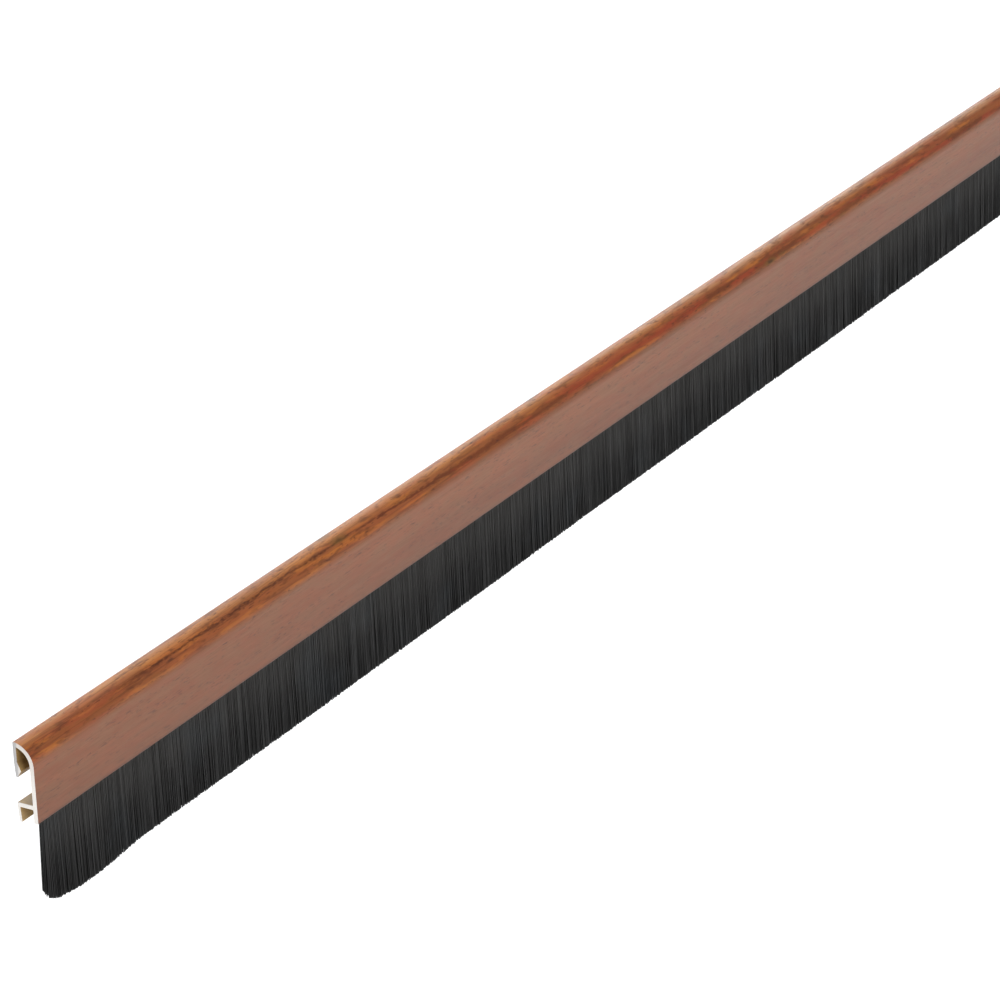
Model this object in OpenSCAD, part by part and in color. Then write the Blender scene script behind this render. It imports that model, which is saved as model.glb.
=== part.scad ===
// Door sweep with a clip-on cover, a hidden screwed base rail and a sliding brush insert.
// X runs along the strip, +Y points at the door and +Z is up.
// The origin lies on the door's face, at mid length and at the height of the screw line.
// Each extruded section is drawn in 2D with x for depth (Y) and y for height (Z).

/* [Cover] */
// Length of the cover
cover_len = 1000; // [400:10:2000]
// Height of the cover, from the bottom of its front wall to the top of its roll
cover_h = 21.6; // [21:0.1:24]
// Depth of the cover, which is also the outer radius of its top roll
cover_d = 6; // [5.8:0.1:6.6]
// Thickness of the front wall, the roll and the shelf
wall_t = 1.2; // [1:0.05:1.3]
// Drop of the rear lip below the top of the roll
lip_drop = 9.6; // [9.2:0.1:9.8]
// Thickness of the rear lip
lip_t = 0.95; // [0.8:0.05:1]
// How far the hook at the lip's tip stands forward of the lip
hook_reach = 1; // [0.6:0.05:1.1]
// Height of the brush channel under the shelf, measured from the bottom of the front wall
channel_h = 3.8; // [3.6:0.1:4.2]

/* [Base rail] */
// Distance from each end of the cover to the end of the rail
rail_inset = 12; // [10:1:40]
// Thickness of the rail's web, where the screws pass
web_t = 2.6; // [2.4:0.1:2.8]
// Thickness of the rail's upright plate, which the cover hooks over
plate_t = 1.25; // [1:0.05:1.4]
// Thickness of the foam tape on the rail's back
tape_t = 1; // [0.5:0.1:1]

/* [Screws] */
// Distance from each end of the cover to the first screw
screw_inset = 40; // [35:5:120]
// Nominal diameter over the thread
screw_d = 3; // [2.5:0.1:3]
// Diameter of the countersunk head
head_d = 5.4; // [5:0.1:5.4]
// Length of the screw, head included
screw_len = 16; // [12:1:30]

/* [Brush] */
// Free drop of the bristles below the bottom of the front wall
bristle_drop = 24.9; // [12:0.1:40]
// Distance from each end of the cover to the end of the brush
brush_inset = 5.2; // [0:0.1:20]
// Thickness of the bristles where they leave their channel
bristle_t = 1.8; // [1.4:0.1:2]
// Thickness of the bristles at their tips
tip_t = 2.6; // [1.8:0.1:3.6]
// Radius that the bristle skirt's lower corners are worn to
corner_r = 2; // [1:0.5:8]
// Width of the folded channel strip
strip_w = 3.4; // [3.2:0.05:3.5]
// Thickness of the channel strip's metal
strip_t = 0.55; // [0.4:0.05:0.6]
// Diameter of the core wire
wire_d = 1; // [0.8:0.1:1.2]

/* [Hidden] */
screw_count = 5;

$fn = 48;
overlap = 0.01; // joins solids of one piece
door_gap = 0.2; // the cover stands this far off the door's face
screw_up = 8.45; // height of the screw line above the bottom of the front wall

// Heights, from the bottom of the object upwards
wall_bottom = -screw_up;
bristle_bottom = wall_bottom - bristle_drop;
shelf_bottom = wall_bottom + channel_h;
shelf_top = shelf_bottom + wall_t;
cover_top = wall_bottom + cover_h;
roll_centre = cover_top - cover_d;
lip_tip = cover_top - lip_drop;

// Depths, from the front to the door
cover_back = -door_gap;
cover_front = cover_back - cover_d;
wall_inside = cover_front + wall_t;
roll_inside_r = cover_d - wall_t;

// Lower lip of the brush channel, which leans forward and reaches below the wall
low_lip_t = 0.75;
low_lip_lean = 0.35;
low_lip_below = 0.45;
low_lip_tip = wall_bottom - low_lip_below;

// Hook on the upper lip
hook_slope = 2.2; // height over which the lip thickens into the hook
hook_nose_r = 0.45;
lip_lean = 0.25; // the lip's tip stands this much forward of its root

// Base rail
rail_gap = 0.3; // between the rail and the cover's shelf and lip
rail_back = -tape_t;
rail_front = rail_back - web_t;
rail_len = cover_len - 2 * rail_inset;
web_bottom = shelf_top + rail_gap;
web_top = lip_tip - rail_gap;
plate_back = rail_front + plate_t;
plate_r = plate_t / 2;
plate_clear = 0.12; // between the plate's round top and the inside of the roll
plate_mid = rail_front + plate_r;
plate_top_z = roll_centre
    + sqrt(pow(roll_inside_r - plate_clear - plate_r, 2) - pow(plate_mid - cover_back, 2));
snap_chamfer = 0.3; // on the rail's lower front edge, which the shelf snaps past

// Screws
screw_r = screw_d / 2;
head_r = head_d / 2;
head_rim = 0.3;
head_cone = head_r - screw_r; // a 90 degree countersink
head_sunk = 0.15;
hole_gap = 0.15;
tape_hole_gap = 0.4;
point_len = 3;
point_r = 0.2;
neck_r = 1.1; // the plain neck under the head
thread_start = 0.2; // the thread begins just behind the door's face
recess_w = 0.75;
recess_reach = 3.1;
recess_deep = 1.1;
screw_pitch = (cover_len - 2 * screw_inset) / (screw_count - 1);
tape_margin = 0.5;

// Brush insert
channel_front = wall_inside;
channel_back = cover_back - low_lip_t - 0.05;
brush_mid = (channel_front + channel_back - low_lip_lean / 2) / 2;
brush_len = cover_len - 2 * brush_inset;
strip_top = shelf_bottom - 0.12;
strip_bottom = wall_bottom - 0.3;
strip_pinch = 0.2; // the strip's legs are crimped in by this much at their ends
roots_w = strip_w - 2 * strip_t - 2 * overlap;
wire_z = strip_top - strip_t - wire_d / 2 - 0.55;
flex_z = strip_bottom - 1; // the bristles bend about this line
flex_gap = 0.12;
flex_r = bristle_t / 2 + 0.05;

function screw_x(i) = -cover_len / 2 + screw_inset + (i - 1) * screw_pitch;

// A 2D section, x for depth and y for height, run along the strip and centred on it
module along_strip(length) {
    translate([-length / 2, 0, 0]) rotate([90, 0, 90]) linear_extrude(length) children();
}

// A rectangle between two depths and two heights
module bar(y0, y1, z0, z1) {
    translate([min(y0, y1), z0]) square([abs(y1 - y0), z1 - z0]);
}

module roll_section() {
    intersection() {
        translate([cover_back, roll_centre]) difference() {
            circle(cover_d);
            circle(roll_inside_r);
        }
        bar(cover_front, cover_back, roll_centre, cover_top);
    }
}

module lip_section() {
    tip_back = cover_back - lip_lean;
    nose_z = lip_tip + 1.9;
    nose_y = cover_back - lip_t - hook_reach + hook_nose_r;
    polygon([
        [cover_back, cover_top - wall_t + overlap],
        [cover_back - lip_t, cover_top - wall_t + overlap],
        [cover_back - lip_t, nose_z + hook_slope],
        [nose_y - hook_nose_r * 0.75, nose_z + hook_nose_r * 0.66],
        [nose_y - hook_nose_r * 0.75, nose_z - hook_nose_r * 0.66],
        [tip_back - 0.55, lip_tip],
        [tip_back - 0.2, lip_tip],
        [tip_back, lip_tip + 0.3],
        [cover_back, nose_z + hook_slope],
    ]);
    translate([nose_y, nose_z]) circle(hook_nose_r);
}

module channel_section() {
    bar(wall_inside - overlap, cover_back, shelf_bottom, shelf_top);
    polygon([
        [cover_back, shelf_bottom + overlap],
        [cover_back - low_lip_t - 0.05, shelf_bottom + overlap],
        [cover_back - low_lip_t - low_lip_lean, low_lip_tip],
        [cover_back - low_lip_lean, low_lip_tip + 0.1],
    ]);
}

module cover() {
    color("#8f6450") along_strip(cover_len) {
        roll_section();
        bar(cover_front, wall_inside, wall_bottom, roll_centre);
        lip_section();
        channel_section();
    }
}

module rail_section() {
    polygon([
        [rail_back, web_bottom],
        [rail_back, web_top],
        [plate_back, web_top],
        [plate_back, plate_top_z],
        [rail_front, plate_top_z],
        [rail_front, web_bottom + snap_chamfer],
        [rail_front + snap_chamfer, web_bottom],
    ]);
    translate([plate_mid, plate_top_z]) circle(plate_r);
}

// A round bar along +Y, from one depth to another
module y_bar(r, y0, y1) {
    translate([0, y0, 0]) rotate([-90, 0, 0]) cylinder(r = r, h = y1 - y0);
}

// A cone along +Y that narrows from r0 to r1
module y_cone(r0, r1, y0, y1) {
    translate([0, y0, 0]) rotate([-90, 0, 0]) cylinder(r1 = r0, r2 = r1, h = y1 - y0);
}

module screw_hole() {
    sink_r = head_r + hole_gap;
    sink_end = rail_front + head_sunk + head_rim;
    y_bar(sink_r, rail_front - 1, sink_end);
    y_cone(sink_r, screw_r + hole_gap, sink_end, sink_end + head_cone);
    y_bar(screw_r + hole_gap, rail_front, rail_back + 1);
}

module base_rail() {
    color("#5b5d5e") difference() {
        along_strip(rail_len) rail_section();
        for (i = [1:screw_count]) translate([screw_x(i), 0, 0]) screw_hole();
    }
}

module adhesive_tape() {
    color("#e9e7e0") difference() {
        along_strip(rail_len - 2)
            bar(rail_back, 0, web_bottom + tape_margin, web_top - tape_margin);
        for (i = [1:screw_count])
            translate([screw_x(i), 0, 0]) y_bar(screw_r + tape_hole_gap, rail_back - 1, 1);
    }
}

module screw() {
    head_face = rail_front + head_sunk;
    cone_start = head_face + head_rim;
    tip = head_face + screw_len;
    color("#b9bcc0") difference() {
        union() {
            y_bar(head_r, head_face, cone_start);
            y_cone(head_r, neck_r, cone_start, cone_start + head_r - neck_r);
            y_bar(neck_r, cone_start, thread_start + overlap);
            y_bar(screw_r, thread_start, tip - point_len);
            y_cone(screw_r, point_r, tip - point_len, tip);
        }
        for (turn = [0, 90]) rotate([0, turn, 0])
            translate([-recess_reach / 2, head_face - 1, -recess_w / 2])
                cube([recess_reach, 1 + recess_deep, recess_w]);
    }
}

// The folded strip: a back and two legs, whose ends are crimped inwards
module brush_channel() {
    half = strip_w / 2;
    inner = half - strip_t;
    color("#9da1a5") along_strip(brush_len) translate([brush_mid, 0]) polygon([
        [-half, strip_top],
        [half, strip_top],
        [half, strip_bottom + 1],
        [half - strip_pinch, strip_bottom],
        [inner - strip_pinch, strip_bottom],
        [inner, strip_bottom + 1],
        [inner, strip_top - strip_t],
        [-inner, strip_top - strip_t],
        [-inner, strip_bottom + 1],
        [-inner + strip_pinch, strip_bottom],
        [-half + strip_pinch, strip_bottom],
        [-half, strip_bottom + 1],
    ]);
}

module core_wire() {
    color("#c2c5c8") translate([-brush_len / 2, brush_mid, wire_z])
        rotate([0, 90, 0]) cylinder(r = wire_d / 2, h = brush_len);
}

// The bristles inside the strip, folded over the wire, with room below for the bend
module filament_roots() {
    half = roots_w / 2;
    color("#232426") along_strip(brush_len - 0.4) translate([brush_mid, 0]) difference() {
        polygon([
            [-half, strip_bottom + 1],
            [-half, strip_top - strip_t - overlap],
            [half, strip_top - strip_t - overlap],
            [half, strip_bottom + 1],
            [bristle_t / 2, strip_bottom - 0.2],
            [-bristle_t / 2, strip_bottom - 0.2],
        ]);
        translate([0, wire_z]) circle(wire_d / 2 + overlap);
        translate([0, flex_z]) circle(flex_r + flex_gap);
    }
}

// The skirt's outline seen from the front, with its lower corners worn round
module skirt_outline() {
    half = brush_len / 2;
    translate([-half, bristle_bottom + corner_r])
        square([brush_len, flex_z - bristle_bottom - corner_r]);
    translate([-half + corner_r, bristle_bottom])
        square([brush_len - 2 * corner_r, 2 * corner_r]);
    for (side = [-1, 1])
        translate([side * (half - corner_r), bristle_bottom + corner_r]) circle(corner_r);
}

// The free bristles: a slab that spreads towards its tips, round at the top about the bending line
module bristle_skirt() {
    color("#2b2c2e") {
        translate([-brush_len / 2, brush_mid, flex_z])
            rotate([0, 90, 0]) cylinder(r = flex_r, h = brush_len);
        intersection() {
            along_strip(brush_len) translate([brush_mid, 0]) polygon([
                [-bristle_t / 2, flex_z],
                [bristle_t / 2, flex_z],
                [tip_t / 2, bristle_bottom],
                [-tip_t / 2, bristle_bottom],
            ]);
            translate([0, brush_mid + tip_t, 0])
                rotate([90, 0, 0]) linear_extrude(2 * tip_t) skirt_outline();
        }
    }
}

cover();
base_rail();
adhesive_tape();
for (i = [1:screw_count])
    translate([screw_x(i), 0, 0]) screw();
brush_channel();
core_wire();
filament_roots();
bristle_skirt();
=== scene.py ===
import math
from types import SimpleNamespace

import bpy
import numpy as np
from mathutils import Matrix, Vector


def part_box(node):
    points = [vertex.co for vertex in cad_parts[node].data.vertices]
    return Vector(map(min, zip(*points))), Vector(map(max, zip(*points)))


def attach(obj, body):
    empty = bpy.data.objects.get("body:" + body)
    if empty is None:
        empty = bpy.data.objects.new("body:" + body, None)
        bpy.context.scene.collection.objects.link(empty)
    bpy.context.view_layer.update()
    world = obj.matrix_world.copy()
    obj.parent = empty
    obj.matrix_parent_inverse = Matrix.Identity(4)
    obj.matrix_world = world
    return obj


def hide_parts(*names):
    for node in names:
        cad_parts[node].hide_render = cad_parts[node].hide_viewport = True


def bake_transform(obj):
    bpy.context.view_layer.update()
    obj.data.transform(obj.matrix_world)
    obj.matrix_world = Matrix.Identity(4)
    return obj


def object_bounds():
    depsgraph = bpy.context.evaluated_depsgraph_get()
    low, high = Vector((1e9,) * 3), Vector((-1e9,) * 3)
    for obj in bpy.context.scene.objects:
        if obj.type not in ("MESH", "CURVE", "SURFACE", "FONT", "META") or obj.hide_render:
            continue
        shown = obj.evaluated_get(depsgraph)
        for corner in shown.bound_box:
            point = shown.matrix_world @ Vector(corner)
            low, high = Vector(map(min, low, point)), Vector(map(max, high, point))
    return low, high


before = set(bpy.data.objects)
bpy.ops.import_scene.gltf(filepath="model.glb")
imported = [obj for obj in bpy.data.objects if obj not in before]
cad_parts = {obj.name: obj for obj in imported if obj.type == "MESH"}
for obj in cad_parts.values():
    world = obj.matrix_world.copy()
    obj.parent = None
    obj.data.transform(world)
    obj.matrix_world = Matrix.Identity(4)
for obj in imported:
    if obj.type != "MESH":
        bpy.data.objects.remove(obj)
cad_low, cad_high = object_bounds()
rng = np.random.default_rng(7)

# Lengths are in mm unless a name says otherwise, and Blender's own are in metres.
MM = 0.001


def box_mm(node):
    """The low and high corners of a CAD node."""
    low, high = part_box(node)
    return np.array(low) / MM, np.array(high) / MM


cover_low, cover_high = box_mm("cover")
channel_low, channel_high = box_mm("brush_channel")
skirt_low, skirt_high = box_mm("bristle_skirt")
wire_low, wire_high = box_mm("core_wire")

LOW_LIP_BELOW = 0.45  # the channel's rear lip hangs this far below the front wall's foot
left, front, foot = cover_low
right, back, top = cover_high
wall_foot = foot + LOW_LIP_BELOW

# ---------------------------------------------------------------- meshes

CORNER_STEPS = 5


def new_object(name, verts_mm, faces, mats, face_mats=None, loop_normals=None):
    """A mesh from points in mm. faces is a list of index lists, or an (n, 4) array."""
    mesh = bpy.data.meshes.new(name)
    verts = np.asarray(verts_mm, float) * MM
    if isinstance(faces, np.ndarray):
        sizes = np.full(len(faces), faces.shape[1])
        flat = faces.ravel()
    else:
        sizes = np.array([len(face) for face in faces])
        flat = np.concatenate([np.asarray(face) for face in faces])
    mesh.vertices.add(len(verts))
    mesh.vertices.foreach_set("co", verts.astype(np.float32).ravel())
    mesh.loops.add(len(flat))
    mesh.loops.foreach_set("vertex_index", flat.astype(np.int32))
    mesh.polygons.add(len(sizes))
    starts = np.concatenate([[0], np.cumsum(sizes)[:-1]])
    mesh.polygons.foreach_set("loop_start", starts.astype(np.int32))
    mesh.polygons.foreach_set("use_smooth", np.ones(len(sizes), bool))
    for mat in mats:
        mesh.materials.append(mat)
    if face_mats is not None:
        mesh.polygons.foreach_set("material_index", np.asarray(face_mats, np.int32))
    mesh.update(calc_edges=True)
    mesh.validate()
    if loop_normals is not None:
        mesh.normals_split_custom_set([tuple(normal) for normal in loop_normals])
    obj = bpy.data.objects.new(name, mesh)
    bpy.context.scene.collection.objects.link(obj)
    return obj


def arc(centre, radius, start, end, steps):
    """Unrounded corners on an arc in the section plane; angles in degrees, 0 along +Y."""
    angles = np.radians(np.linspace(start, end, steps + 1))
    return [
        (centre[0] + radius * math.cos(a), centre[1] + radius * math.sin(a), 0.0)
        for a in angles
    ]


def rounded(corners):
    """The outline through (y, z, radius) corners, each turned into a small arc."""
    out = []
    for i, (y, z, radius) in enumerate(corners):
        corner = np.array([y, z])
        if radius <= 0:
            out.append(corner)
            continue
        before = np.array(corners[i - 1][:2]) - corner
        after = np.array(corners[(i + 1) % len(corners)][:2]) - corner
        length_before, length_after = np.linalg.norm(before), np.linalg.norm(after)
        before, after = before / length_before, after / length_after
        half = math.acos(np.clip(before @ after, -1, 1)) / 2
        # neighbouring arcs may share an edge, so neither takes more than half of it
        reach = min(radius / math.tan(half), 0.49 * length_before, 0.49 * length_after)
        fitted = reach * math.tan(half)
        inward = (before + after) / np.linalg.norm(before + after)
        middle = corner + inward * fitted / math.sin(half)
        first = corner + before * reach - middle
        last = corner + after * reach - middle
        turn = math.atan2(first[0] * last[1] - first[1] * last[0], first @ last)
        for t in turn * np.arange(CORNER_STEPS + 1) / CORNER_STEPS:
            c, s = math.cos(t), math.sin(t)
            spoke = np.array([first[0] * c - first[1] * s, first[0] * s + first[1] * c])
            out.append(middle + spoke)
    return np.array(out)


def signed_area(outline):
    """The area of a closed outline, above zero where it runs anticlockwise."""
    y, z = outline.T
    return 0.5 * np.sum(y * np.roll(z, -1) - z * np.roll(y, -1))


def outward(outline):
    """Normals at an outline's points, leaning to the longer side so that flats stay flat."""
    ahead = np.roll(outline, -1, 0) - outline
    side = np.stack([ahead[:, 1], -ahead[:, 0]], 1) * math.copysign(1, signed_area(outline))
    length = np.linalg.norm(ahead, axis=1)[:, None]
    heavy = side / length * length**2
    normals = heavy + np.roll(heavy, 1, 0)
    return normals / np.linalg.norm(normals, axis=1)[:, None]


def sweep(name, outline, start, end, bevels, mats, side_mats=None):
    """The closed outline run along X from start to end.

    bevels holds the bevel at each end: fine at a cut end, and 0 at a joint between lengths.
    The bevels and the ends use the last material. side_mats gives the material of the strip
    that follows each point of the outline, and is the first one if left out.
    """
    n = len(outline)
    normals = outward(outline)
    rings = [(start, 0.0), (end, 0.0)]
    if bevels[0]:
        rings[:1] = [(start, bevels[0]), (start + bevels[0], 0.0)]
    if bevels[1]:
        rings[-1:] = [(end - bevels[1], 0.0), (end, bevels[1])]
    verts = np.concatenate(
        [np.column_stack([np.full(n, x), outline - normals * inset]) for x, inset in rings]
    )
    if side_mats is None:
        side_mats = np.zeros(n, int)
    anticlockwise = signed_area(outline) > 0
    faces, face_mats, loop_normals = [], [], []
    side = np.column_stack([np.zeros(n), normals])
    outer = {0: (-1.0, 0.0, 0.0), len(rings) - 1: (1.0, 0.0, 0.0)}
    cut = len(mats) - 1
    for k in range(len(rings) - 1):
        bevelled = rings[k][1] > 0 or rings[k + 1][1] > 0
        for i in range(n):
            j = (i + 1) % n
            quad = [k * n + i, k * n + j, (k + 1) * n + j, (k + 1) * n + i]
            if not anticlockwise:
                quad.reverse()
            faces.append(quad)
            face_mats.append(cut if bevelled else side_mats[i])
            for v in quad:
                at_end = rings[v // n][1] > 0
                loop_normals.append(outer[v // n] if at_end else side[v % n])
    for k, flip in ((0, anticlockwise), (len(rings) - 1, not anticlockwise)):
        cap = list(range(k * n, (k + 1) * n))
        if flip:
            cap.reverse()
        faces.append(cap)
        face_mats.append(cut)
        loop_normals += [outer[k]] * n
    return new_object(name, verts, faces, mats, face_mats, loop_normals)


# ------------------------------------------------------------- materials


class Nodes:
    """Short ways to add and join nodes of one material."""

    def __init__(self, name):
        self.material = bpy.data.materials.new(name)
        self.material.use_nodes = True
        self.tree = self.material.node_tree
        self.shader = self.tree.nodes["Principled BSDF"]

    def add(self, kind, **values):
        """A new node with these settings."""
        node = self.tree.nodes.new(kind)
        for key, value in values.items():
            setattr(node, key, value)
        return node

    def join(self, source, target):
        """A link from an output to a socket."""
        self.tree.links.new(source, target)

    def feed(self, socket, value):
        """Gives a socket a number, an RGB colour or another node's output."""
        if isinstance(value, (int, float)):
            socket.default_value = value
        elif isinstance(value, tuple):
            socket.default_value = (*value, 1.0)
        else:
            self.join(value, socket)

    def place(self, scale, offset=(0, 0, 0)):
        """Object coordinates in mm, scaled and then moved."""
        coord = self.add("ShaderNodeTexCoord")
        mapping = self.add("ShaderNodeMapping")
        mapping.inputs["Location"].default_value = offset
        mapping.inputs["Scale"].default_value = [s / MM for s in scale]
        self.join(coord.outputs["Object"], mapping.inputs["Vector"])
        return mapping.outputs["Vector"]

    def axis(self, index):
        """One of the object's coordinates, in mm."""
        split = self.add("ShaderNodeSeparateXYZ")
        self.join(self.place((1, 1, 1)), split.inputs[0])
        return split.outputs[index]

    def noise(self, scale, offset=(0, 0, 0), detail=2.0, rough=0.5, warp=0.0):
        """Noise from 0 to 1. scale is in features per mm along each axis."""
        node = self.add("ShaderNodeTexNoise")
        node.inputs["Scale"].default_value = 1.0
        node.inputs["Detail"].default_value = detail
        node.inputs["Roughness"].default_value = rough
        node.inputs["Distortion"].default_value = warp
        self.join(self.place(scale, offset), node.inputs["Vector"])
        return node.outputs["Fac"]

    def cells(self, scale, offset=(0, 0, 0)):
        """Random cells: the distance from each one's middle, and a colour for each."""
        node = self.add("ShaderNodeTexVoronoi")
        node.inputs["Scale"].default_value = 1.0
        self.join(self.place(scale, offset), node.inputs["Vector"])
        return node.outputs["Distance"], node.outputs["Color"]

    def red(self, colour):
        """A colour's red share, which is a random number for a cell's colour."""
        split = self.add("ShaderNodeSeparateColor")
        self.join(colour, split.inputs[0])
        return split.outputs[0]

    def span(self, value, low, high, to_low=0.0, to_high=1.0, smooth=True):
        """A ramp from to_low at low to to_high at high, and level beyond them."""
        node = self.add("ShaderNodeMapRange")
        if smooth:
            node.interpolation_type = "SMOOTHSTEP"
        node.inputs["From Min"].default_value = low
        node.inputs["From Max"].default_value = high
        node.inputs["To Min"].default_value = to_low
        node.inputs["To Max"].default_value = to_high
        self.join(value, node.inputs["Value"])
        return node.outputs["Result"]

    def maths(self, operation, a, b):
        """The result of an operation on two numbers or outputs."""
        node = self.add("ShaderNodeMath", operation=operation)
        self.feed(node.inputs[0], a)
        self.feed(node.inputs[1], b)
        return node.outputs["Value"]

    def plus(self, a, b):
        return self.maths("ADD", a, b)

    def minus(self, a, b):
        return self.maths("SUBTRACT", a, b)

    def times(self, a, b):
        return self.maths("MULTIPLY", a, b)

    def larger(self, a, b):
        return self.maths("MAXIMUM", a, b)

    def mix(self, share, a, b):
        """Colour a where share is 0 and colour b where it is 1."""
        node = self.add("ShaderNodeMix", data_type="RGBA")
        self.feed(node.inputs[0], share)
        self.feed(node.inputs[6], a)
        self.feed(node.inputs[7], b)
        return node.outputs[2]

    def finish(self, colour, roughness, **uniform):
        """Joins the colour and roughness, and sets values that are the same all over."""
        self.feed(self.shader.inputs["Base Color"], colour)
        self.feed(self.shader.inputs["Roughness"], roughness)
        for name, value in uniform.items():
            self.feed(self.shader.inputs[name.replace("_", " ")], value)
        return self.material

    def bump(self, height, strength, depth_mm):
        """Gives the shader a relief that follows height."""
        node = self.add("ShaderNodeBump")
        node.inputs["Strength"].default_value = strength
        node.inputs["Distance"].default_value = depth_mm * MM
        self.join(height, node.inputs["Height"])
        self.join(node.outputs["Normal"], self.shader.inputs["Normal"])


# Where the printed wood figure and the crown's painted highlight change, along the cover from
# its near end.
PATCHES_FADE = (left + 30, left + 60)
LINE_SPREADS = (left + 130, left + 240)
# the crown's painted highlight grows paler over this span
CROWN_HIGHLIGHT_GROWS = (left + 250, left + 450)
LINE_FALLS = (left, left + 600)
# The same up the cover. The roll's edge is soft near the end and crisp farther along.
# Painted shade on the flat front reaches up to FRONT_SHADE_TOP, and a darker painted shade
# covers its lowest FOOT_SHADE.
FRONT_SHADE_TOP = 6.0
FOOT_SHADE = 1.2
PORES_THIN = (6.5, 9.5)
RINGS_GROW = (7.0, 9.5)
SOFT_ROLL_EDGE = (7.6, 9.4)
CRISP_ROLL_EDGE = (8.7, 9.5)
CROWN_EDGE = (11.8, 12.9)
# The dark line, in mm: its height, how far it sways and falls, and how far flecks feather it.
LINE_HEIGHT, LINE_SWAY, LINE_FEATHER = 11.65, 2.2, 1.7
LINE_FALL = (-0.2, 1.7)
LINE_CORE, LINE_EDGE = 0.08, 0.30
# Where it is a band, distances above and below it count only this much.
BAND_ABOVE, BAND_BELOW = 0.38, 0.22

# linear RGB
FLAT_DARK, FLAT_LIGHT = (0.210, 0.058, 0.019), (0.258, 0.080, 0.029)
FLAT_OLIVE = (0.200, 0.088, 0.036)
# painted shade for the flat front's lower part and for its foot
FRONT_SHADE, FOOT_PAINTED_SHADE = (0.09, 0.027, 0.013), (0.05, 0.020, 0.013)
ROLL_DARK, ROLL_LIGHT = (0.225, 0.062, 0.017), (0.300, 0.092, 0.025)
ROLL_WARM, ROLL_RUSSET = (0.46, 0.145, 0.024), (0.36, 0.066, 0.026)
ROLL_BLOTCH = (0.115, 0.032, 0.009)
# painted highlight on the roll's crown
CROWN_HIGHLIGHT_OCHRE, CROWN_HIGHLIGHT_PALE = (0.60, 0.250, 0.070), (0.56, 0.290, 0.145)
LINE_INK = (0.055, 0.013, 0.004)
BAND_BROWN, BAND_RED = (0.150, 0.036, 0.010), (0.28, 0.046, 0.016)
FIBRE_DARK, FIBRE_PALE = (0.13, 0.042, 0.016), (0.40, 0.18, 0.09)
RING_BROWN, PORE_BROWN = (0.10, 0.031, 0.012), (0.070, 0.024, 0.012)
KNOT_OLIVE, KNOT_HEART = (0.15, 0.080, 0.016), (0.055, 0.026, 0.008)


def film_zones(m):
    """A point's x and height on the cover, and shares from 0 to 1 that say where it is."""
    along, height = m.axis(0), m.axis(2)
    spread = m.span(along, *LINE_SPREADS)
    soft, crisp = m.span(height, *SOFT_ROLL_EDGE), m.span(height, *CRISP_ROLL_EDGE)
    return SimpleNamespace(
        along=along,
        height=height,
        near=m.span(along, *PATCHES_FADE, 1.0, 0.0),
        spread=spread,
        far=m.span(along, *CROWN_HIGHLIGHT_GROWS),
        on_roll=m.plus(soft, m.times(spread, m.minus(crisp, soft))),
        crown=m.span(height, *CROWN_EDGE),
        patch=m.noise((0.022, 0.5, 0.5), (4, 4, 9)),
    )


def film_flat(m, at, broad):
    """The flat front's colour, with painted shade darkening it towards its foot."""
    mottle = m.noise((0.09, 0.34, 0.34), (8, 2, 6), detail=3.0, rough=0.6)
    mottle = m.span(mottle, 0.35, 0.65)
    flat = m.mix(broad, FLAT_DARK, FLAT_LIGHT)
    flat = m.mix(m.times(mottle, 0.55), flat, FLAT_OLIVE)
    # painted shade: darker towards the front's foot, and darker again in a narrow band at the
    # foot
    shade = m.span(at.height, wall_foot, FRONT_SHADE_TOP, 0.34, 0.0)
    flat = m.mix(shade, flat, FRONT_SHADE)
    shade = m.span(at.height, wall_foot, wall_foot + FOOT_SHADE, 0.6, 0.0)
    return m.mix(shade, flat, FOOT_PAINTED_SHADE)


def film_roll(m, at, broad, russet):
    """The roll's colour, with warm and russet clouds, a painted ochre highlight on the crown
    that pales farther along, and dark blotches.
    """
    warm = m.span(m.noise((0.05, 0.45, 0.45), (7, 3, 5)), 0.50, 0.64)
    roll = m.mix(broad, ROLL_DARK, ROLL_LIGHT)
    roll = m.mix(m.times(warm, 0.75), roll, ROLL_WARM)
    # painted highlight: the crown is lighter, ochre near the end and paler farther along
    pale = m.mix(at.far, CROWN_HIGHLIGHT_OCHRE, CROWN_HIGHLIGHT_PALE)
    roll = m.mix(m.times(at.crown, m.span(at.far, 0.0, 1.0, 0.65, 0.85)), roll, pale)
    roll = m.mix(m.times(russet, 0.42), roll, ROLL_RUSSET)
    blotch = m.noise((0.17, 0.75, 0.75), (1, 9, 4), detail=3.0, rough=0.6, warp=0.3)
    return m.mix(m.span(blotch, 0.52, 0.66, 0.0, 0.6), roll, ROLL_BLOTCH)


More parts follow.
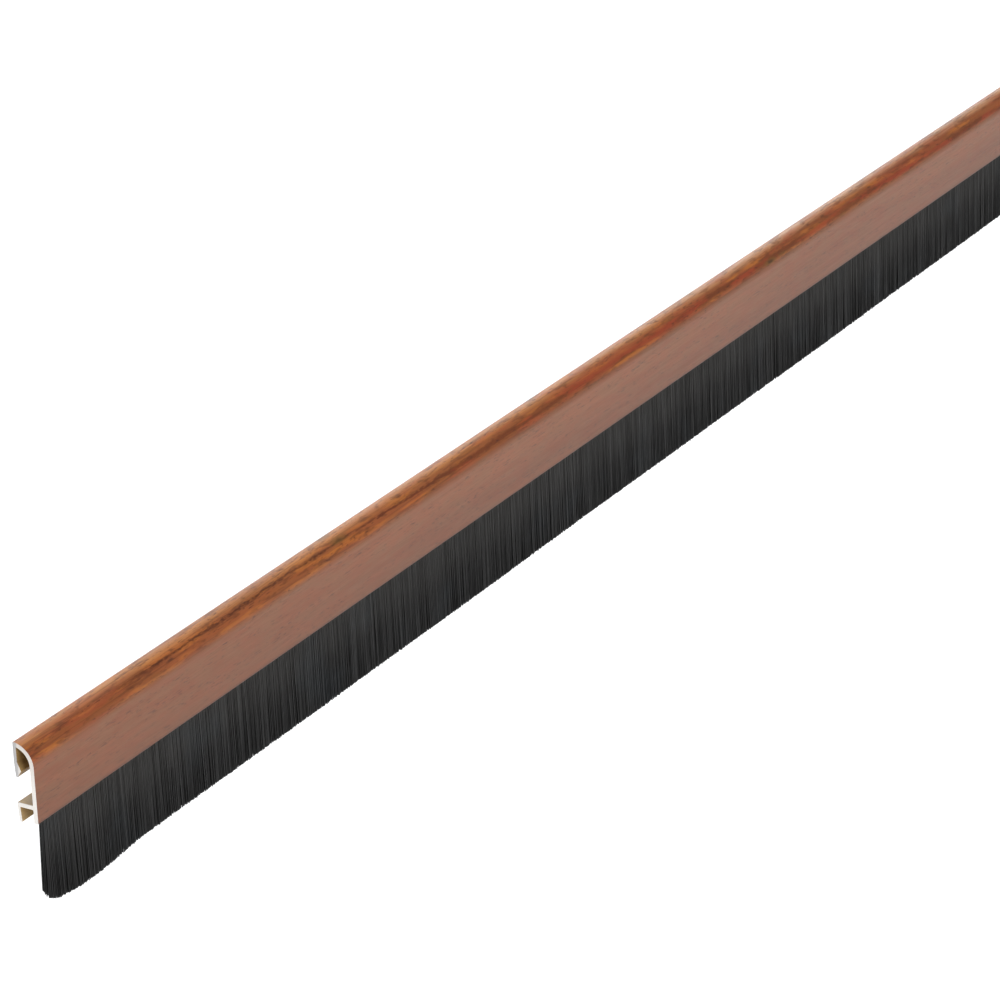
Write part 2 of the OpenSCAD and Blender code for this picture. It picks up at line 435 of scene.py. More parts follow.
def film_line(m, at, base, russet):
    """The base colour with a broken dark line that wanders along the roll.

    Short flecks feather it. Farther along it falls and spreads into a red-brown band, which
    reaches down to the roll's edge.
    """
    fleck = m.noise((0.5, 3.0, 3.0), (1, 8, 3), detail=3.0, rough=0.65)
    sway = m.noise((0.012, 0.0, 0.0), (2, 6, 1))
    level = m.plus(at.height, m.times(m.minus(sway, 0.5), LINE_SWAY))
    level = m.plus(level, m.span(at.along, *LINE_FALLS, *LINE_FALL, smooth=False))
    level = m.plus(level, m.times(m.minus(fleck, 0.5), LINE_FEATHER))
    off = m.minus(level, LINE_HEIGHT)
    above = m.times(off, m.span(at.spread, 0.0, 1.0, 1.0, BAND_ABOVE))
    below = m.times(off, m.span(at.spread, 0.0, 1.0, -1.0, -BAND_BELOW))
    kept = m.larger(m.span(at.patch, 0.40, 0.50), m.times(at.spread, 0.75))
    kept = m.times(kept, m.span(at.near, 0.0, 1.0, 1.0, 0.3))
    kept = m.times(kept, m.larger(at.on_roll, m.minus(1.0, at.spread)))
    line = m.span(m.larger(above, below), LINE_CORE, LINE_EDGE, 1.0, 0.0)
    ink = m.mix(at.spread, LINE_INK, m.mix(russet, BAND_BROWN, BAND_RED))
    return m.mix(m.times(m.times(line, kept), 0.85), base, ink)


def film_knots(m, at, base):
    """The base colour with growth rings, and small knots on the roll, olive at the rim."""
    figure = m.noise((0.011, 0.45, 0.45), (9, 4, 2), detail=2.5, warp=0.6)
    ring = m.span(m.maths("PINGPONG", m.times(figure, 9.0), 1.0), 0.74, 0.98)
    ring = m.times(ring, m.span(at.height, *RINGS_GROW, 0.07, 0.42))
    base = m.mix(ring, base, RING_BROWN)

    distance, colour = m.cells((0.045, 0.16, 0.16), (3, 5, 8))
    # about half of the cells hold a knot, and nearly all of those beside the near end
    chosen = m.span(m.plus(m.red(colour), m.times(at.near, 0.45)), 0.48, 0.50)
    chosen = m.times(chosen, at.on_roll)
    rim = m.times(chosen, m.span(distance, 0.10, 0.26, 1.0, 0.0))
    heart = m.times(chosen, m.span(distance, 0.03, 0.12, 1.0, 0.0))
    base = m.mix(m.times(rim, 0.55), base, KNOT_OLIVE)
    return m.mix(m.times(heart, 0.8), base, KNOT_HEART)


def wood_film():
    """Wood-grain film on the outer faces: quiet on the flat, a livelier figure on the roll."""
    m = Nodes("wood_grain_film")
    at = film_zones(m)
    broad = m.noise((0.006, 0.22, 0.22), detail=3.0, rough=0.55, warp=0.4)
    broad = m.span(broad, 0.3, 0.7)
    russet = m.noise((0.045, 0.30, 0.30), (5, 6, 2), detail=3.0, rough=0.6)
    russet = m.span(russet, 0.46, 0.60)
    russet = m.times(russet, m.span(m.larger(at.near, at.spread), 0.0, 1.0, 0.4, 1.0))
    base = m.mix(at.on_roll, film_flat(m, at, broad), film_roll(m, at, broad, russet))

    # long dark fibres and fine pale ones
    fibre = m.noise((0.035, 3.2, 3.2), (3, 1, 7), detail=4.0, rough=0.6)
    fine = m.noise((0.12, 9.0, 9.0), (5, 2, 1))
    base = m.mix(m.span(fibre, 0.35, 0.75, 0.0, 0.26), base, FIBRE_DARK)
    base = m.mix(m.span(fine, 0.4, 0.8, 0.0, 0.18), base, FIBRE_PALE)
    base = film_line(m, at, base, russet)
    base = film_knots(m, at, base)

    # short dark pores, in patches
    pores = m.span(m.noise((0.40, 3.6, 3.6), (6, 1, 4)), 0.60, 0.67)
    pores = m.times(pores, m.span(at.patch, 0.40, 0.55))
    pores = m.times(pores, m.span(at.height, *PORES_THIN, 0.75, 0.80))
    base = m.mix(pores, base, PORE_BROWN)
    m.bump(m.minus(fibre, m.times(pores, 0.6)), strength=0.25, depth_mm=0.03)
    return m.finish(base, m.span(fibre, 0.3, 0.8, 0.34, 0.44), Specular_IOR_Level=0.38)


def base_coat():
    """The ochre base coat inside the cover, under the film."""
    m = Nodes("ochre_base_coat")
    cloud = m.noise((0.03, 0.4, 0.4), detail=3.0, rough=0.6)
    peel = m.noise((2.4, 2.4, 2.4))
    dark, light, pit = (0.33, 0.205, 0.075), (0.43, 0.285, 0.118), (0.18, 0.100, 0.032)
    base = m.mix(m.span(cloud, 0.3, 0.7), dark, light)
    base = m.mix(m.span(peel, 0.4, 0.8, 0.0, 0.15), base, pit)
    m.bump(peel, strength=0.2, depth_mm=0.02)
    return m.finish(base, m.span(peel, 0.3, 0.8, 0.42, 0.55))


def sawn_metal():
    """Bare bright metal at the cut ends, with the saw's fine arcs. It is greyer on the hook."""
    m = Nodes("sawn_aluminium")
    depth, height = m.axis(1), m.axis(2)
    marks = m.noise((0.5, 0.9, 9.0), (2, 2, 2), detail=3.0, rough=0.6, warp=0.5)
    cloud = m.noise((0.8, 0.8, 0.8))
    dull, bright, cream = (0.84, 0.81, 0.77), (0.94, 0.91, 0.87), (0.94, 0.87, 0.79)
    upper, hook = (0.66, 0.60, 0.54), (0.46, 0.46, 0.47)
    on_hook = m.times(m.span(depth, back - 1.5, back - 0.9), m.span(height, 0.0, 3.0))
    base = m.mix(m.span(marks, 0.35, 0.75), dull, bright)
    base = m.mix(m.span(cloud, 0.35, 0.75, 0.0, 0.4), base, cream)
    base = m.mix(m.span(height, 2.0, 9.0, 0.0, 0.4), base, upper)
    base = m.mix(m.times(on_hook, 0.75), base, hook)
    m.bump(marks, strength=0.3, depth_mm=0.02)
    return m.finish(base, m.span(marks, 0.3, 0.8, 0.38, 0.55), Metallic=1.0)


def galvanised():
    """Folded strip steel: zinc spangle and lengthwise rolling marks."""
    m = Nodes("galvanised_strip")
    _, spangle = m.cells((0.35, 0.7, 0.7))
    rolled = m.noise((0.05, 6.0, 6.0), detail=3.0, rough=0.6)
    dark, light, groove = (0.42, 0.43, 0.45), (0.58, 0.59, 0.61), (0.30, 0.31, 0.33)
    base = m.mix(m.span(m.red(spangle), 0.0, 1.0), dark, light)
    base = m.mix(m.span(rolled, 0.4, 0.75, 0.0, 0.4), base, groove)
    m.bump(rolled, strength=0.2, depth_mm=0.02)
    return m.finish(base, m.span(rolled, 0.3, 0.8, 0.32, 0.5), Metallic=1.0)


def drawn_wire():
    """Bright drawn wire with fine lengthwise lines."""
    m = Nodes("drawn_wire_steel")
    lines = m.noise((0.03, 14.0, 14.0), detail=3.0, rough=0.6)
    dark, light = (0.50, 0.50, 0.52), (0.68, 0.68, 0.69)
    base = m.mix(m.span(lines, 0.3, 0.75), dark, light)
    return m.finish(base, m.span(lines, 0.3, 0.8, 0.28, 0.42), Metallic=1.0)


def rail_plastic():
    """Extruded dark plastic: dull, with faint die lines along X."""
    m = Nodes("extruded_dark_plastic")
    lines = m.noise((0.004, 2.6, 2.6), detail=3.0, rough=0.6)
    grain = m.noise((1.6, 3.4, 3.4), detail=3.0, rough=0.6)
    dark, light, scuff = (0.058, 0.060, 0.063), (0.082, 0.084, 0.088), (0.12, 0.12, 0.125)
    base = m.mix(m.span(lines, 0.3, 0.7), dark, light)
    base = m.mix(m.span(grain, 0.45, 0.8, 0.0, 0.35), base, scuff)
    m.bump(m.plus(lines, m.times(grain, 0.3)), strength=0.25, depth_mm=0.03)
    return m.finish(base, m.span(grain, 0.3, 0.8, 0.42, 0.6))


def tape_foam():
    """Closed-cell foam tape: tiny cells and a faint yellow tack."""
    m = Nodes("closed_cell_foam")
    distance, _ = m.cells((3.2, 3.2, 3.2))
    cloud = m.noise((0.05, 0.3, 0.3), detail=3.0, rough=0.6)
    raised = m.span(distance, 0.05, 0.45)
    yellow, pale, pit = (0.70, 0.67, 0.58), (0.80, 0.78, 0.71), (0.46, 0.42, 0.33)
    base = m.mix(m.span(cloud, 0.3, 0.7), yellow, pale)
    base = m.mix(m.times(m.minus(1.0, raised), 0.35), base, pit)
    m.bump(raised, strength=0.5, depth_mm=0.08)
    return m.finish(base, 0.62)


def zinc_plate():
    """Bright zinc on the screws, a little blue, with faint tumbling marks."""
    m = Nodes("bright_zinc_plate")
    cloud = m.noise((0.9, 0.9, 0.9), detail=3.0, rough=0.6)
    marks = m.noise((5.0, 5.0, 5.0), detail=3.0, rough=0.6, warp=0.4)
    blue, bright, dent = (0.55, 0.57, 0.61), (0.68, 0.69, 0.70), (0.40, 0.40, 0.40)
    base = m.mix(m.span(cloud, 0.3, 0.7), blue, bright)
    base = m.mix(m.span(marks, 0.55, 0.8, 0.0, 0.4), base, dent)
    return m.finish(base, m.span(marks, 0.3, 0.8, 0.24, 0.42), Metallic=1.0)


def filament_black():
    """Charcoal filaments: each with its own shade, paler near the roots, dark at the tips, with
    painted warm bounce light from the cover at the roots.
    """
    m = Nodes("charcoal_filament")
    shade = m.add("ShaderNodeAttribute", attribute_name="shade").outputs["Fac"]
    height = m.axis(2)
    skirt_foot, skirt_top = skirt_low[2], skirt_high[2]
    dark_to, pale_from = skirt_foot + 5.6, skirt_foot + 0.88 * (skirt_top - skirt_foot)
    low = m.span(height, dark_to, pale_from, 1.0, 0.0)
    dust = m.noise((0.05, 0.2, 0.05))
    # painted warm bounce light from the cover, over the filaments' top 3.5 mm
    roots = m.span(height, skirt_top - 3.5, skirt_top, 0.0, 0.6)
    upper, tip, dark = (0.031, 0.0295, 0.0275), (0.0041, 0.0040, 0.0038), (0.008, 0.008, 0.008)
    dusty, warm = (0.030, 0.038, 0.044), (0.044, 0.040, 0.037)
    base = m.mix(low, upper, tip)
    base = m.mix(m.times(shade, 0.35), base, dark)
    base = m.mix(m.span(dust, 0.5, 0.75, 0.0, 0.25), base, dusty)
    base = m.mix(roots, base, warm)
    return m.finish(base, 0.48, Specular_IOR_Level=0.25)


def floor_paint():
    """A plain pale floor that glows a little, so that it stays pale far from the lights."""
    m = Nodes("pale_floor")
    cloud = m.noise((0.002, 0.002, 0.002))
    base = m.mix(m.span(cloud, 0.3, 0.7), (0.86, 0.86, 0.86), (0.87, 0.87, 0.87))
    m.shader.inputs["Emission Color"].default_value = (1, 1, 1, 1)
    return m.finish(base, 0.9, Specular_IOR_Level=0.1, Emission_Strength=0.45)


# ----------------------------------------------------------------- cover

WALL = 1.2  # of the front, the roll and the shelf
SHELF_RISE = 3.8  # of the shelf's underside over the front wall's foot
LIP_WALL = 0.95  # of the rear lip, which ends in the hook
LIP_DROP = 9.6  # of the hook's tip below the crown
NOSE_R, NOSE_REACH, NOSE_RISE = 0.45, 0.55, 1.9  # of the hook's bead, over its tip
BEND_RISE = 2.2  # of the lip's bend over the bead
LOW_LIP_WALL, LOW_LIP_LEAN = 0.75, 0.35  # of the lip behind the channel
END_LENGTH = 10.0
END_BEVEL = 0.07

inner = front + WALL
shelf_low = wall_foot + SHELF_RISE
shelf_high = shelf_low + WALL
roll_r = back - front
roll_centre = (back, top - roll_r)
lip_tip = top - LIP_DROP
lip_front = back - LIP_WALL
nose_centre = (lip_front - NOSE_REACH, lip_tip + NOSE_RISE)
lip_bend = nose_centre[1] + BEND_RISE
low_lip_front = back - LOW_LIP_WALL
lip_meets_roll = roll_centre[1] + math.sqrt((roll_r - WALL) ** 2 - LIP_WALL**2)

# corners as (y, z, radius), up the front, over the roll and down the back
front_foot = (front, wall_foot, 0.28)
outer_roll = arc(roll_centre, roll_r, 180, 93, 40)
crown_back = (back, top, 0.3)
hook_back = [(back, lip_bend, 0.8), (back - 0.25, lip_tip + 0.3, 0.2)]
hook_tip = [(back - 0.45, lip_tip, 0.12), (back - 0.8, lip_tip, 0.2)]
hook_bead = arc(nose_centre, NOSE_R, 221, 139, 8)
lip_inside = [(lip_front, lip_bend, 0.5), (lip_front, lip_meets_roll, 0.3)]
inner_roll = arc(roll_centre, roll_r - WALL, 104, 180, 30)
shelf_top = [(inner, shelf_high, 0.25), (back, shelf_high, 0.25)]
low_lip = [
    (back, shelf_low, 0.4),
    (back - LOW_LIP_LEAN, foot + 0.1, 0.12),
    (low_lip_front - LOW_LIP_LEAN, foot, 0.2),
    (low_lip_front - 0.05, shelf_low, 0.2),
]
channel_roof = [(inner, shelf_low, 0.2), (inner, wall_foot, 0.2)]
section = rounded(
    [front_foot, *outer_roll, crown_back, *hook_back, *hook_tip, *hook_bead]
    + [*lip_inside, *inner_roll, *shelf_top, *low_lip, *channel_roof]
)

# film covers the front, the roll and half of the crown's rear corner, base coat the rest
corner_points = CORNER_STEPS + 1
film_end = corner_points + len(outer_roll) + corner_points // 2
FILM, COAT = 0, 1
cover_mats = np.where(np.arange(len(section)) < film_end, FILM, COAT)
wood, coat, bare = wood_film(), base_coat(), sawn_metal()

# three closed lengths, so that the baked cut ends get fine textures of their own
for name, start, end, bevels in (
    ("cover_profile", left + END_LENGTH, right - END_LENGTH, (0, 0)),
    ("cover_profile_left_end", left, left + END_LENGTH, (END_BEVEL, 0)),
    ("cover_profile_right_end", right - END_LENGTH, right, (0, END_BEVEL)),
):
    cover = sweep(name, section, start, end, bevels, [wood, coat, bare], cover_mats)
    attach(cover, "cover")
    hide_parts("cover")

# ------------------------------------------------- folded strip and wire

STRIP_WALL = 0.55
PINCH = 0.2  # each leg of the strip is crimped in by this much at its foot
STRIP_BEVEL, WIRE_BEVEL = 0.06, 0.12
WIRE_SIDES = 32

strip_foot, strip_top = channel_low[2], channel_high[2]
strip_mid = (channel_low[1] + channel_high[1]) / 2
half_outer = (channel_high[1] - channel_low[1]) / 2
half_inner = half_outer - STRIP_WALL
half_brush = (channel_high[0] - channel_low[0]) / 2

# one side as (distance from the middle, z, radius), outside down and inside up
strip_side = [
    (half_outer, strip_top, 0.75),
    (half_outer, strip_foot + 1, 0.9),
    (half_outer - PINCH, strip_foot, 0.16),
    (half_inner - PINCH, strip_foot, 0.16),
    (half_inner, strip_foot + 1, 0.5),
    (half_inner, strip_top - STRIP_WALL, 0.3),
]
strip = rounded(
    [(strip_mid + off, z, radius) for off, z, radius in strip_side]
    + [(strip_mid - off, z, radius) for off, z, radius in reversed(strip_side)]
)
bevels = (STRIP_BEVEL, STRIP_BEVEL)
folded = sweep("folded_strip", strip, -half_brush, half_brush, bevels, [galvanised()])
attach(folded, "brush_insert")
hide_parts("brush_channel")

wire_z = (wire_low[2] + wire_high[2]) / 2
wire_r = (wire_high[2] - wire_low[2]) / 2
circle = rounded(arc((strip_mid, wire_z), wire_r, 0, 360, WIRE_SIDES)[:-1])
bevels = (WIRE_BEVEL, WIRE_BEVEL)
wire = sweep("core_wire_drawn", circle, -half_brush, half_brush, bevels, [drawn_wire()])
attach(wire, "brush_insert")
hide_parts("core_wire")

# ------------------------------------------------------------- filaments

PAIRS = 13000
PIECES = 10
FILAMENT_R = 0.155
FILAMENT_SIDES = 4
FOLD_ANGLES = (135, 90, 45)  # over the wire, in degrees
LEG_DEPTHS = (0, 2.38, 3.9, 5.6, 7.8, 10.6, 15.5)  # of a leg's points below the wire
GOLDEN_STEP = 0.6180339887  # spreads the filaments evenly over the brush's thickness
TUFT_WIDTHS = (0.7, 2.6)
STRAY_SHARE = 0.008
TIP_WEAR, TIP_WEAR_REACH = 1.7, 3.4  # at the brush's ends
REAR_WEAR, REAR_WEAR_REACH = 1.8, 5.0  # more on the legs at the door's side
SWELL = 1.25  # of the longer tips beside each worn end
SWELL_FROM, SWELL_RISE, SWELL_END, SWELL_FALL = 1, 13, 42, 22
WAVES = ((0.09, 41.0, 0), (0.07, 17.3, 2))  # of the tip line: height, length / 2 pi, phase

fold_in, fold_out = wire_r + 0.14, half_inner - 0.12
mouth = strip_foot
tip_line = skirt_low[2]
tip_half = (skirt_high[1] - skirt_low[1]) / 2 - FILAMENT_R - 0.02
mouth_half = half_inner - PINCH - FILAMENT_R


def smooth(share):
    """The share from 0 to 1, eased at both ends."""
    return share * share * (3 - 2 * share)


def tip_raise(x):
    """How far the tips at x end above the straight line.

    They are worn round at both ends of the brush, and a little longer beside that.
    """
    end = half_brush - np.abs(x)
    worn = TIP_WEAR * np.clip(1 - end / TIP_WEAR_REACH, 0, 1) ** 1.3
    rise, fall = (end - SWELL_FROM) / SWELL_RISE, (SWELL_END - end) / SWELL_FALL
    swell = smooth(np.clip(np.minimum(rise, fall), 0, 1))
    wave = sum(height * np.sin(x / length + phase) for height, length, phase in WAVES)
    return worn - SWELL * swell + wave


def tuft_edges():
    """Edges of the clumps in which the filaments lie."""
    widths = rng.uniform(*TUFT_WIDTHS, int(2 * half_brush / 1.3))
    edges = np.concatenate([[0], np.cumsum(widths)])
    return edges / edges[-1] * 2 * half_brush - half_brush


def filament_lines():
    """Centre lines of the folded filaments, as (pair, point, xyz), and a shade for each."""
    n = PAIRS
    x = (np.arange(n) + rng.uniform(0, 1, n)) / n * 2 * half_brush - half_brush
    x = np.clip(x, -half_brush + FILAMENT_R, half_brush - FILAMENT_R)
    layer = (np.arange(n) * GOLDEN_STEP + rng.uniform(0, 0.12, n)) % 1.0
    edges = tuft_edges()
    tuft = np.clip(np.searchsorted(edges, x) - 1, 0, len(edges) - 2)
    centre = (edges[tuft] + edges[tuft + 1]) / 2
    tuft_lean = rng.normal(0, 0.002, (len(edges), 2))
    tuft_shade = rng.normal(0, 1, len(edges))
    tuft_pull = rng.uniform(0.0, 0.04, len(edges))
    tuft_long = rng.normal(0, 0.012, len(edges))
    radius = fold_in + layer * (fold_out - fold_in)
    end = half_brush - np.abs(x)
    at_mouth = (0.04 + layer * 0.96) * mouth_half
    at_tip = (0.04 + layer**0.6 * 0.96) * tip_half
    tip_x = x + (centre - x) * tuft_pull[tuft]
    legs = []
    for side in (-1, 1):
        stray = (rng.uniform(0, 1, n) < STRAY_SHARE) * rng.normal(0, 0.03, n) * (end > 8)
        lean_x = tuft_lean[tuft, 0] + rng.normal(0, 0.005, n) + stray
        lean_y = tuft_lean[tuft, 1] * 0.5 + rng.normal(0, 0.006, n)
        lean_x += np.sign(x) * 0.036 * np.exp(-end / 2.2)
        behind = np.clip((side * layer + 0.6) / 1.6, 0, 1)
        worn = REAR_WEAR * behind * np.clip(1 - end / REAR_WEAR_REACH, 0, 1)
        tip_z = tip_line + tip_raise(x) + worn + rng.normal(0, 0.016, n) + tuft_long[tuft]
        points = []
        for z in [wire_z - depth for depth in LEG_DEPTHS] + [tip_z]:
            z = np.maximum(z, tip_z)
            inside = smooth(np.clip((wire_z - z) / (wire_z - mouth), 0, 1))
            free = np.clip((mouth - z) / (mouth - tip_line), 0, 1.05) ** 0.8
            off = radius + (at_mouth - radius) * inside + (at_tip - at_mouth) * free
            drop = np.maximum(mouth - z, 0)
            leg_x = x + (tip_x - x) * free + lean_x * drop
            leg_y = strip_mid + side * off + lean_y * drop
            points.append(np.stack([leg_x, leg_y, z], 1))
        legs.append(np.stack(points, 1))
    fold = [
        np.stack([x, strip_mid + radius * math.cos(a), wire_z + radius * math.sin(a)], 1)
        for a in np.radians(FOLD_ANGLES)
    ]
    lines = np.concatenate([legs[0][:, ::-1], np.stack(fold, 1), legs[1]], 1)
    slow = 0.6 * np.sin(x / 23.0) + 0.5 * np.sin(x / 7.7 + 1)
    shade = 0.46 + 0.07 * tuft_shade[tuft] + 0.04 * rng.normal(0, 1, n) + 0.06 * slow
    return lines, np.clip(shade, 0, 1)


def filament_mesh(name, lines, shades, material):
    """Four-sided filaments with closed tips along the given lines."""
    n, count, _ = lines.shape
    sides = FILAMENT_SIDES
    along = np.gradient(lines, axis=1)
    along /= np.linalg.norm(along, axis=2)[:, :, None]
    across = np.array([1.0, 0, 0]) - along * along[:, :, :1]
    across /= np.linalg.norm(across, axis=2)[:, :, None]
    third = np.cross(along, across)
    spin = rng.uniform(0, math.pi / 2, n)
    edges = []
    for k in range(sides):
        turn = spin + k * math.pi / 2
        c, s = np.cos(turn)[:, None, None], np.sin(turn)[:, None, None]
        edges.append(lines + FILAMENT_R * (across * c + third * s))
    verts = np.stack(edges, 2).reshape(-1, 3)
    start = (np.arange(n) * count * sides)[:, None, None]
    level = (np.arange(count - 1) * sides)[None, :, None]
    k = np.arange(sides)[None, None, :]
    a, b = start + level + k, start + level + (k + 1) % sides
    quads = np.stack([a, b, b + sides, a + sides], -1).reshape(-1, 4)
    first = start[:, 0] + np.arange(sides)[::-1]
    last = start[:, 0] + (count - 1) * sides + np.arange(sides)
    obj = new_object(name, verts, np.concatenate([quads, first, last]), [material])
    attribute = obj.data.attributes.new("shade", "FLOAT", "POINT")
    values = np.repeat(shades, count * sides).astype(np.float32)
    attribute.data.foreach_set("value", values)
    return obj


lines, shades = filament_lines()
bristle = filament_black()
for i in range(PIECES):
    part = slice(i * PAIRS // PIECES, (i + 1) * PAIRS // PIECES)
    tress = filament_mesh(f"filaments_{i + 1}", lines[part], shades[part], bristle)
    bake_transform(tress)
    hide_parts("bristle_skirt", "filament_roots")

# ---------------------------------------------------------------- screws

SCREWS = 5
AROUND = 40
CREST_R, ROOT_R, NECK_R, PITCH = 1.5, 1.02, 1.1, 1.35
RIM = 0.3  # the head's straight edge
THREAD_FROM = 0.2  # behind the door's face
POINT_LENGTH, POINT_R = 3.0, 0.05
NECK_TAPER = 0.6  # from the neck down to the thread's root
THREAD_STEP = 0.09
CROSS_REACH, CROSS_DEPTH = 1.5, 1.05
CROSS_HALF_WIDTHS = (0.42, 0.30)  # in the middle and at the arms' ends
CROSS_LEVELS = 18

angles = np.linspace(0, 2 * math.pi, AROUND, endpoint=False)


def thread_radius(y, tip):
    """The thread's radius at each angle, y along a screw that ends at tip."""
    full_to = tip - POINT_LENGTH
    core_at = [THREAD_FROM - NECK_TAPER, THREAD_FROM, full_to, tip]
    core = np.interp(y, core_at, [NECK_R, ROOT_R, ROOT_R, POINT_R])
    tall = CREST_R - ROOT_R
    tall_at = [THREAD_FROM, THREAD_FROM + 0.9, full_to, tip - 0.4, tip]
    tall = np.interp(y, tall_at, [0, tall, tall, 0.12, 0])
    phase = (y / PITCH - angles / (2 * math.pi)) % 1.0
    flank = np.clip(1 - np.abs(phase - 0.5) / 0.27, 0, 1)
    return core + tall * np.clip(flank * 1.12, 0, 1)


def cross_depth(radius):
    """How deep the tapered cross recess is at each angle, radius from the head's middle."""
    off_x, off_z = np.abs(radius * np.cos(angles)), np.abs(radius * np.sin(angles))
    near, far = np.minimum(off_x, off_z), np.maximum(off_x, off_z)
    width = np.interp(far, [0, CROSS_REACH], CROSS_HALF_WIDTHS)
    side = np.clip((width - near) / 0.10, 0, 1)
    end = np.clip((CROSS_REACH - far) / 0.55, 0, 1)
    return CROSS_DEPTH * side * end**0.8


def band(first, second):
    """Faces between two rings of points whose first indices are given."""
    return [
        [first + i, second + i, second + (i + 1) % AROUND, first + (i + 1) % AROUND]
        for i in range(AROUND)
    ]


def screw_mesh(name, node, material):
    """A countersunk wood screw along +Y with a real helical thread and a cross recess."""
    low, high = box_mm(node)
    centre_x, centre_z = (low[0] + high[0]) / 2, (low[2] + high[2]) / 2
    head_r = (high[0] - low[0]) / 2
    face, tip = low[1], high[1]
    cone_end = face + RIM + head_r - NECK_R
    steps = int((tip - THREAD_FROM + NECK_TAPER) / THREAD_STEP)
    shank = np.linspace(THREAD_FROM - NECK_TAPER, tip, steps + 1)[1:]
    # (y, radius) from the head's rounded rim down its cone to the neck
    profile = [
        (face, head_r - 0.06),
        (face + 0.04, head_r),
        (face + RIM, head_r),
        (face + RIM + 0.04, head_r - 0.02),
        (cone_end, NECK_R + 0.03),
        (cone_end + 0.15, NECK_R),
    ]
    profile += [(y, thread_radius(y, tip)) for y in shank]
    body = len(profile)
    # then the head's flat, from its middle out, sunk to the cross
    flat = (head_r - 0.06) * np.arange(1, CROSS_LEVELS) / CROSS_LEVELS
    profile += [(face + cross_depth(radius), radius) for radius in flat]
    rings = [
        np.stack(
            [
                centre_x + radius * np.cos(angles),
                y * np.ones(AROUND),
                centre_z + radius * np.sin(angles),
            ],
            1,
        )
        for y, radius in profile
    ]
    middle = [[centre_x, face + CROSS_DEPTH, centre_z]]
    verts = np.concatenate(rings + [middle])

    faces = []
    for k in range(body - 1):
        faces += band(k * AROUND, (k + 1) * AROUND)
    last = (body - 1) * AROUND
    faces.append([last + i for i in range(AROUND)][::-1])
    inmost = body * AROUND
    centre = len(verts) - 1
    faces += [[centre, inmost + i, inmost + (i + 1) % AROUND] for i in range(AROUND)]
    outward_rings = [(body + k) * AROUND for k in range(CROSS_LEVELS - 1)] + [0]
    for first, second in zip(outward_rings[:-1], outward_rings[1:]):
        faces += band(first, second)
    return new_object(name, verts, faces, [material])


zinc = zinc_plate()
for i in range(1, SCREWS + 1):
    piece = screw_mesh(f"wood_screw_{i}", f"screw_{i}", zinc)
    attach(piece, "base")
    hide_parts(f"screw_{i}")

# ------------------------------------------------------- kept CAD pieces

for node, material, slot_name in (
    ("base_rail", rail_plastic(), "rail_plastic"),
    ("adhesive_tape", tape_foam(), "foam_tape"),
):
    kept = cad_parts[node]
    kept.data.materials.clear()
    kept.data.materials.append(material)

# --------------------------------------------------------------- setting

FLOOR_HALF = 25000
FLOOR_Z = -400

floor = new_object(
    "floor",
    [(x * FLOOR_HALF, y * FLOOR_HALF, FLOOR_Z) for x, y in ((-1, -1), (1, -1), (1, 1), (-1, 1))],
    [[0, 1, 2, 3]],
    [floor_paint()],
)

# the camera sees a pale backdrop, and a dimmer fill lights the object
world = bpy.data.worlds.new("studio")
world.use_nodes = True
nodes, links = world.node_tree.nodes, world.node_tree.links
fill = nodes["Background"]
fill.inputs["Color"].default_value = (0.93, 0.95, 1.0, 1)
fill.inputs["Strength"].default_value = 0.22
backdrop = nodes.new("ShaderNodeBackground")
backdrop.inputs["Color"].default_value = (0.72, 0.72, 0.73, 1)
seen = nodes.new("ShaderNodeLightPath")
either = nodes.new("ShaderNodeMixShader")
links.new(seen.outputs["Is Camera Ray"], either.inputs[0])
links.new(fill.outputs[0], either.inputs[1])
links.new(backdrop.outputs[0], either.inputs[2])
links.new(either.outputs[0], nodes["World Output"].inputs[0])
scene = bpy.context.scene
scene.world = world
scene.view_settings.view_transform = "Standard"


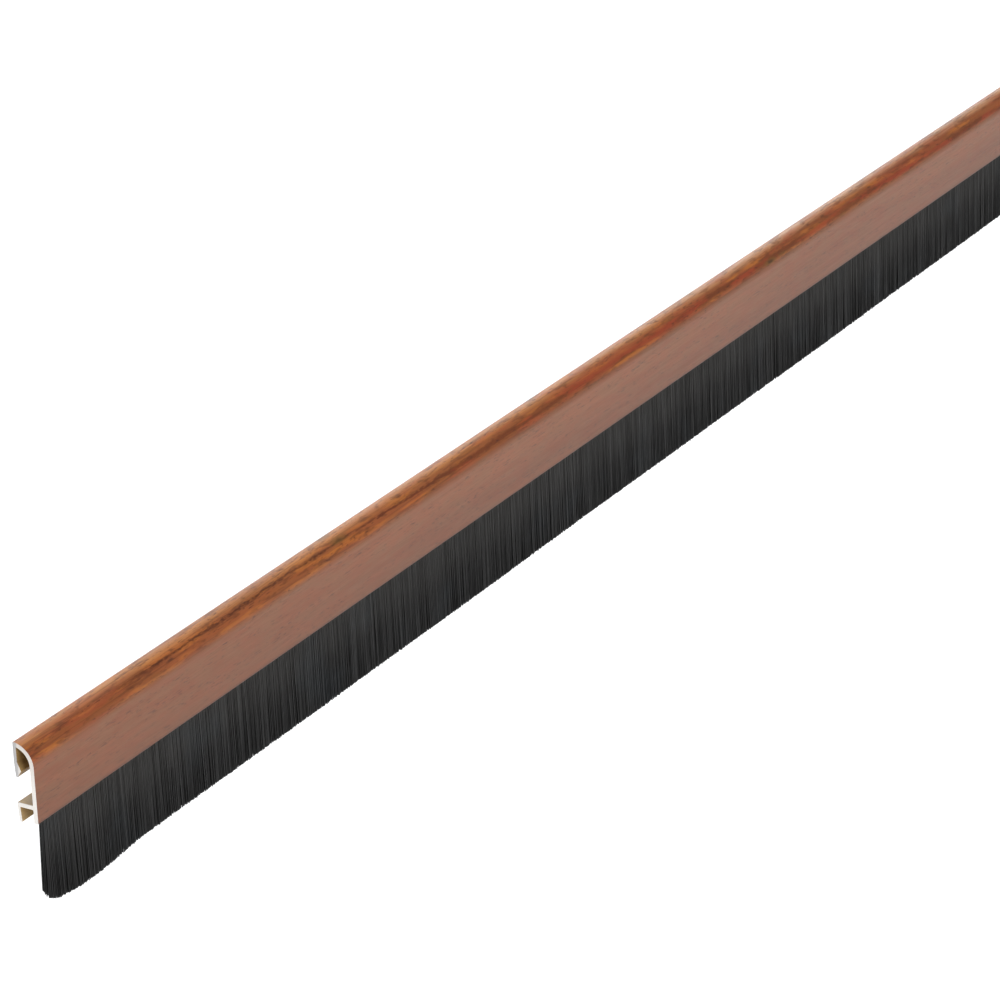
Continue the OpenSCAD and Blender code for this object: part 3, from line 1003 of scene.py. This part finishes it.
def panel(name, place, aim, size, power):
    """A soft rectangular light, in metres and watts."""
    data = bpy.data.lights.new(name, "AREA")
    data.shape = "RECTANGLE"
    data.size, data.size_y = size
    data.energy = power
    light = bpy.data.objects.new(name, data)
    light.location = place
    light.rotation_mode = "QUATERNION"
    light.rotation_quaternion = (Vector(aim) - Vector(place)).to_track_quat("-Z", "Y")
    light.visible_camera = False
    scene.collection.objects.link(light)


panel("overhead", (-0.4, 0.3, 2.4), (-0.1, 0.1, 0), (2.6, 2.6), power=42)
panel("front_fill", (-1.2, -2.6, 0.9), (-0.2, 0, 0), (1.8, 1.4), power=42)
panel("back_rim", (2.0, 1.35, 1.3), (-0.1, 0, 0), (1.8, 1.1), power=23)

# The camera was fitted to the photo. Its look's azimuth is 0 along +Y and 90 along +X, and
# the angles are in degrees. It looks at a point to the right of and above the near cut end.
LOOK_AZIMUTH, LOOK_DOWN, ROLL = 58.877, 22.931, -1.944
DISTANCE_M = 1.01751
END_BELOW_TOP_M = 0.0224
AIM_RIGHT_M, AIM_UP_M = 0.119833, 0.080401
LENS, SENSOR = 147.03, 36
CLIP_M = (0.05, 50)

azimuth, down, roll = (math.radians(angle) for angle in (LOOK_AZIMUTH, LOOK_DOWN, ROLL))
level = Vector((math.sin(azimuth), math.cos(azimuth), 0))
look = level * math.cos(down) - Vector((0, 0, math.sin(down)))
across = Vector((math.cos(azimuth), -math.sin(azimuth), 0))
up = across.cross(look)
across, up = (
    math.cos(roll) * across + math.sin(roll) * up,
    math.cos(roll) * up - math.sin(roll) * across,
)
near_end = Vector((cad_low[0], back * MM, top * MM - END_BELOW_TOP_M))
aim = near_end + AIM_RIGHT_M * across + AIM_UP_M * up

camera_data = bpy.data.cameras.new("camera")
camera_data.lens = LENS
camera_data.sensor_width = SENSOR
camera_data.clip_start, camera_data.clip_end = CLIP_M
camera = bpy.data.objects.new("camera", camera_data)
scene.collection.objects.link(camera)
turned = Matrix((across, up, -look)).transposed().to_4x4()
camera.matrix_world = Matrix.Translation(aim - look * DISTANCE_M) @ turned
scene.camera = camera
